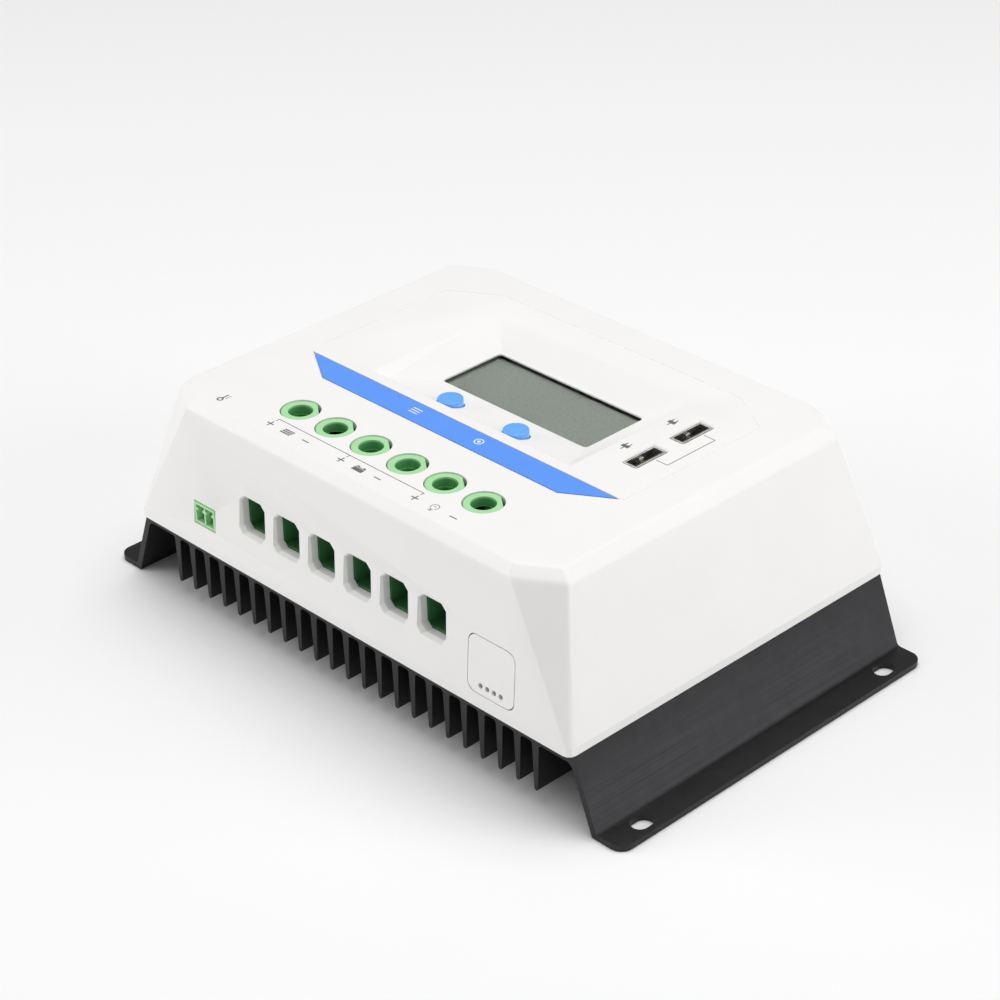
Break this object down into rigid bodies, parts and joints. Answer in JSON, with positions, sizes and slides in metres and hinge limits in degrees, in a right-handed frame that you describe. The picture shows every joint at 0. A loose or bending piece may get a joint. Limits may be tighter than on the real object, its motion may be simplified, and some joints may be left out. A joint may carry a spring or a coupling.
{
  "type": "solar charge controller",
  "caption": "Solar charge controller: white cover with recessed display, two push buttons, two sockets and a row of rising-cage terminals on a finned heat sink with slotted flanges.",
  "frame": {"origin": "centre of the mounting plane, the underside of the flanges", "axes": "+X along the row of terminals to the right seen from the cable entries, -Y towards the side the cables enter, +Z out of the mounting surface"},
  "size_m": [0.214, 0.1288, 0.0698],
  "materials": {
    "anodised": "dark grey anodised, extruded",
    "white_plastic": "fine textured white",
    "blue_label": "printed blue film",
    "blue_plastic": "satin blue",
    "green_plastic": "light green nylon",
    "clear_window": "clear acrylic",
    "lcd": "grey green liquid crystal cell",
    "foam": "black closed-cell foam",
    "circuit_board": "green solder mask",
    "black_plastic": "black moulding",
    "steel": "zinc plated",
    "brass": "tinned or plain brass",
    "copper": "enamelled copper",
    "capacitor_sleeve": "dark blue sleeve",
    "thermal_pad": "soft grey blue pad"
  },
  "bodies": {
    "frame": {"heat_sink": "anodised", "cover": "white_plastic", "front_label": "blue_label", "comm_port_blank": "white_plastic", "lcd_gasket": "foam", "lcd_window": "clear_window", "lcd_glass": "lcd", "lcd_backlight": "white_plastic", "display_board": "circuit_board", "menu_switch": "black_plastic", "set_switch": "black_plastic", "terminal_1": "green_plastic", "terminal_2": "green_plastic", "terminal_3": "green_plastic", "terminal_4": "green_plastic", "terminal_5": "green_plastic", "terminal_6": "green_plastic", "terminal_contact_1": "brass", "terminal_contact_2": "brass", "terminal_contact_3": "brass", "terminal_contact_4": "brass", "terminal_contact_5": "brass", "terminal_contact_6": "brass", "temp_header": "green_plastic", "temp_header_pins": "brass", "usb_shell_1": "steel", "usb_shell_2": "steel", "usb_tongue_1": "black_plastic", "usb_tongue_2": "black_plastic", "usb_board": "circuit_board", "main_board": "circuit_board", "board_spacer_1": "white_plastic", "board_spacer_2": "white_plastic", "board_spacer_3": "white_plastic", "board_spacer_4": "white_plastic", "cover_screw_1": "steel", "cover_screw_2": "steel", "cover_screw_3": "steel", "cover_screw_4": "steel", "thermal_pad": "thermal_pad", "power_transistors": "black_plastic", "capacitor_1": "capacitor_sleeve", "capacitor_2": "capacitor_sleeve", "inductor": "copper", "display_link": "black_plastic", "usb_link": "black_plastic"},
    "menu_button_body": {"menu_button": "blue_plastic"},
    "set_button_body": {"set_button": "blue_plastic"},
    "screw_1": {"clamp_screw_1": "steel"},
    "cage_1": {"clamp_cage_1": "steel"},
    "screw_2": {"clamp_screw_2": "steel"},
    "cage_2": {"clamp_cage_2": "steel"},
    "screw_3": {"clamp_screw_3": "steel"},
    "cage_3": {"clamp_cage_3": "steel"},
    "screw_4": {"clamp_screw_4": "steel"},
    "cage_4": {"clamp_cage_4": "steel"},
    "screw_5": {"clamp_screw_5": "steel"},
    "cage_5": {"clamp_cage_5": "steel"},
    "screw_6": {"clamp_screw_6": "steel"},
    "cage_6": {"clamp_cage_6": "steel"}
  },
  "joints": [
    {"name": "press_menu", "type": "slide", "parent": "frame", "child": "menu_button_body", "axis": [0, 0, -1], "range_m": [0, 0.0008], "stiffness_N_per_m": 1500, "springref_m": -0.0003},
    {"name": "press_set", "type": "slide", "parent": "frame", "child": "set_button_body", "axis": [0, 0, -1], "range_m": [0, 0.0008], "stiffness_N_per_m": 1500, "springref_m": -0.0003},
    {"name": "turn_screw_1", "type": "hinge", "parent": "frame", "child": "screw_1", "pos_m": [-0.0375, -0.043, 0.06], "axis": [0, 0, -1], "range_deg": [0, 2925]},
    {"name": "lift_cage_1", "type": "slide", "parent": "frame", "child": "cage_1", "axis": [0, 0, 1], "range_m": [0, 0.0064]},
    {"name": "turn_screw_2", "type": "hinge", "parent": "frame", "child": "screw_2", "pos_m": [-0.0225, -0.043, 0.06], "axis": [0, 0, -1], "range_deg": [0, 2925]},
    {"name": "lift_cage_2", "type": "slide", "parent": "frame", "child": "cage_2", "axis": [0, 0, 1], "range_m": [0, 0.0064]},
    {"name": "turn_screw_3", "type": "hinge", "parent": "frame", "child": "screw_3", "pos_m": [-0.0075, -0.043, 0.06], "axis": [0, 0, -1], "range_deg": [0, 2925]},
    {"name": "lift_cage_3", "type": "slide", "parent": "frame", "child": "cage_3", "axis": [0, 0, 1], "range_m": [0, 0.0064]},
    {"name": "turn_screw_4", "type": "hinge", "parent": "frame", "child": "screw_4", "pos_m": [0.0075, -0.043, 0.06], "axis": [0, 0, -1], "range_deg": [0, 2925]},
    {"name": "lift_cage_4", "type": "slide", "parent": "frame", "child": "cage_4", "axis": [0, 0, 1], "range_m": [0, 0.0064]},
    {"name": "turn_screw_5", "type": "hinge", "parent": "frame", "child": "screw_5", "pos_m": [0.0225, -0.043, 0.06], "axis": [0, 0, -1], "range_deg": [0, 2925]},
    {"name": "lift_cage_5", "type": "slide", "parent": "frame", "child": "cage_5", "axis": [0, 0, 1], "range_m": [0, 0.0064]},
    {"name": "turn_screw_6", "type": "hinge", "parent": "frame", "child": "screw_6", "pos_m": [0.0375, -0.043, 0.06], "axis": [0, 0, -1], "range_deg": [0, 2925]},
    {"name": "lift_cage_6", "type": "slide", "parent": "frame", "child": "cage_6", "axis": [0, 0, 1], "range_m": [0, 0.0064]}
  ],
  "couplings": [
    {"joint": "turn_screw_1", "follows": "lift_cage_1", "rad_per_m": 7854},
    {"joint": "turn_screw_2", "follows": "lift_cage_2", "rad_per_m": 7854},
    {"joint": "turn_screw_3", "follows": "lift_cage_3", "rad_per_m": 7854},
    {"joint": "turn_screw_4", "follows": "lift_cage_4", "rad_per_m": 7854},
    {"joint": "turn_screw_5", "follows": "lift_cage_5", "rad_per_m": 7854},
    {"joint": "turn_screw_6", "follows": "lift_cage_6", "rad_per_m": 7854}
  ]
}
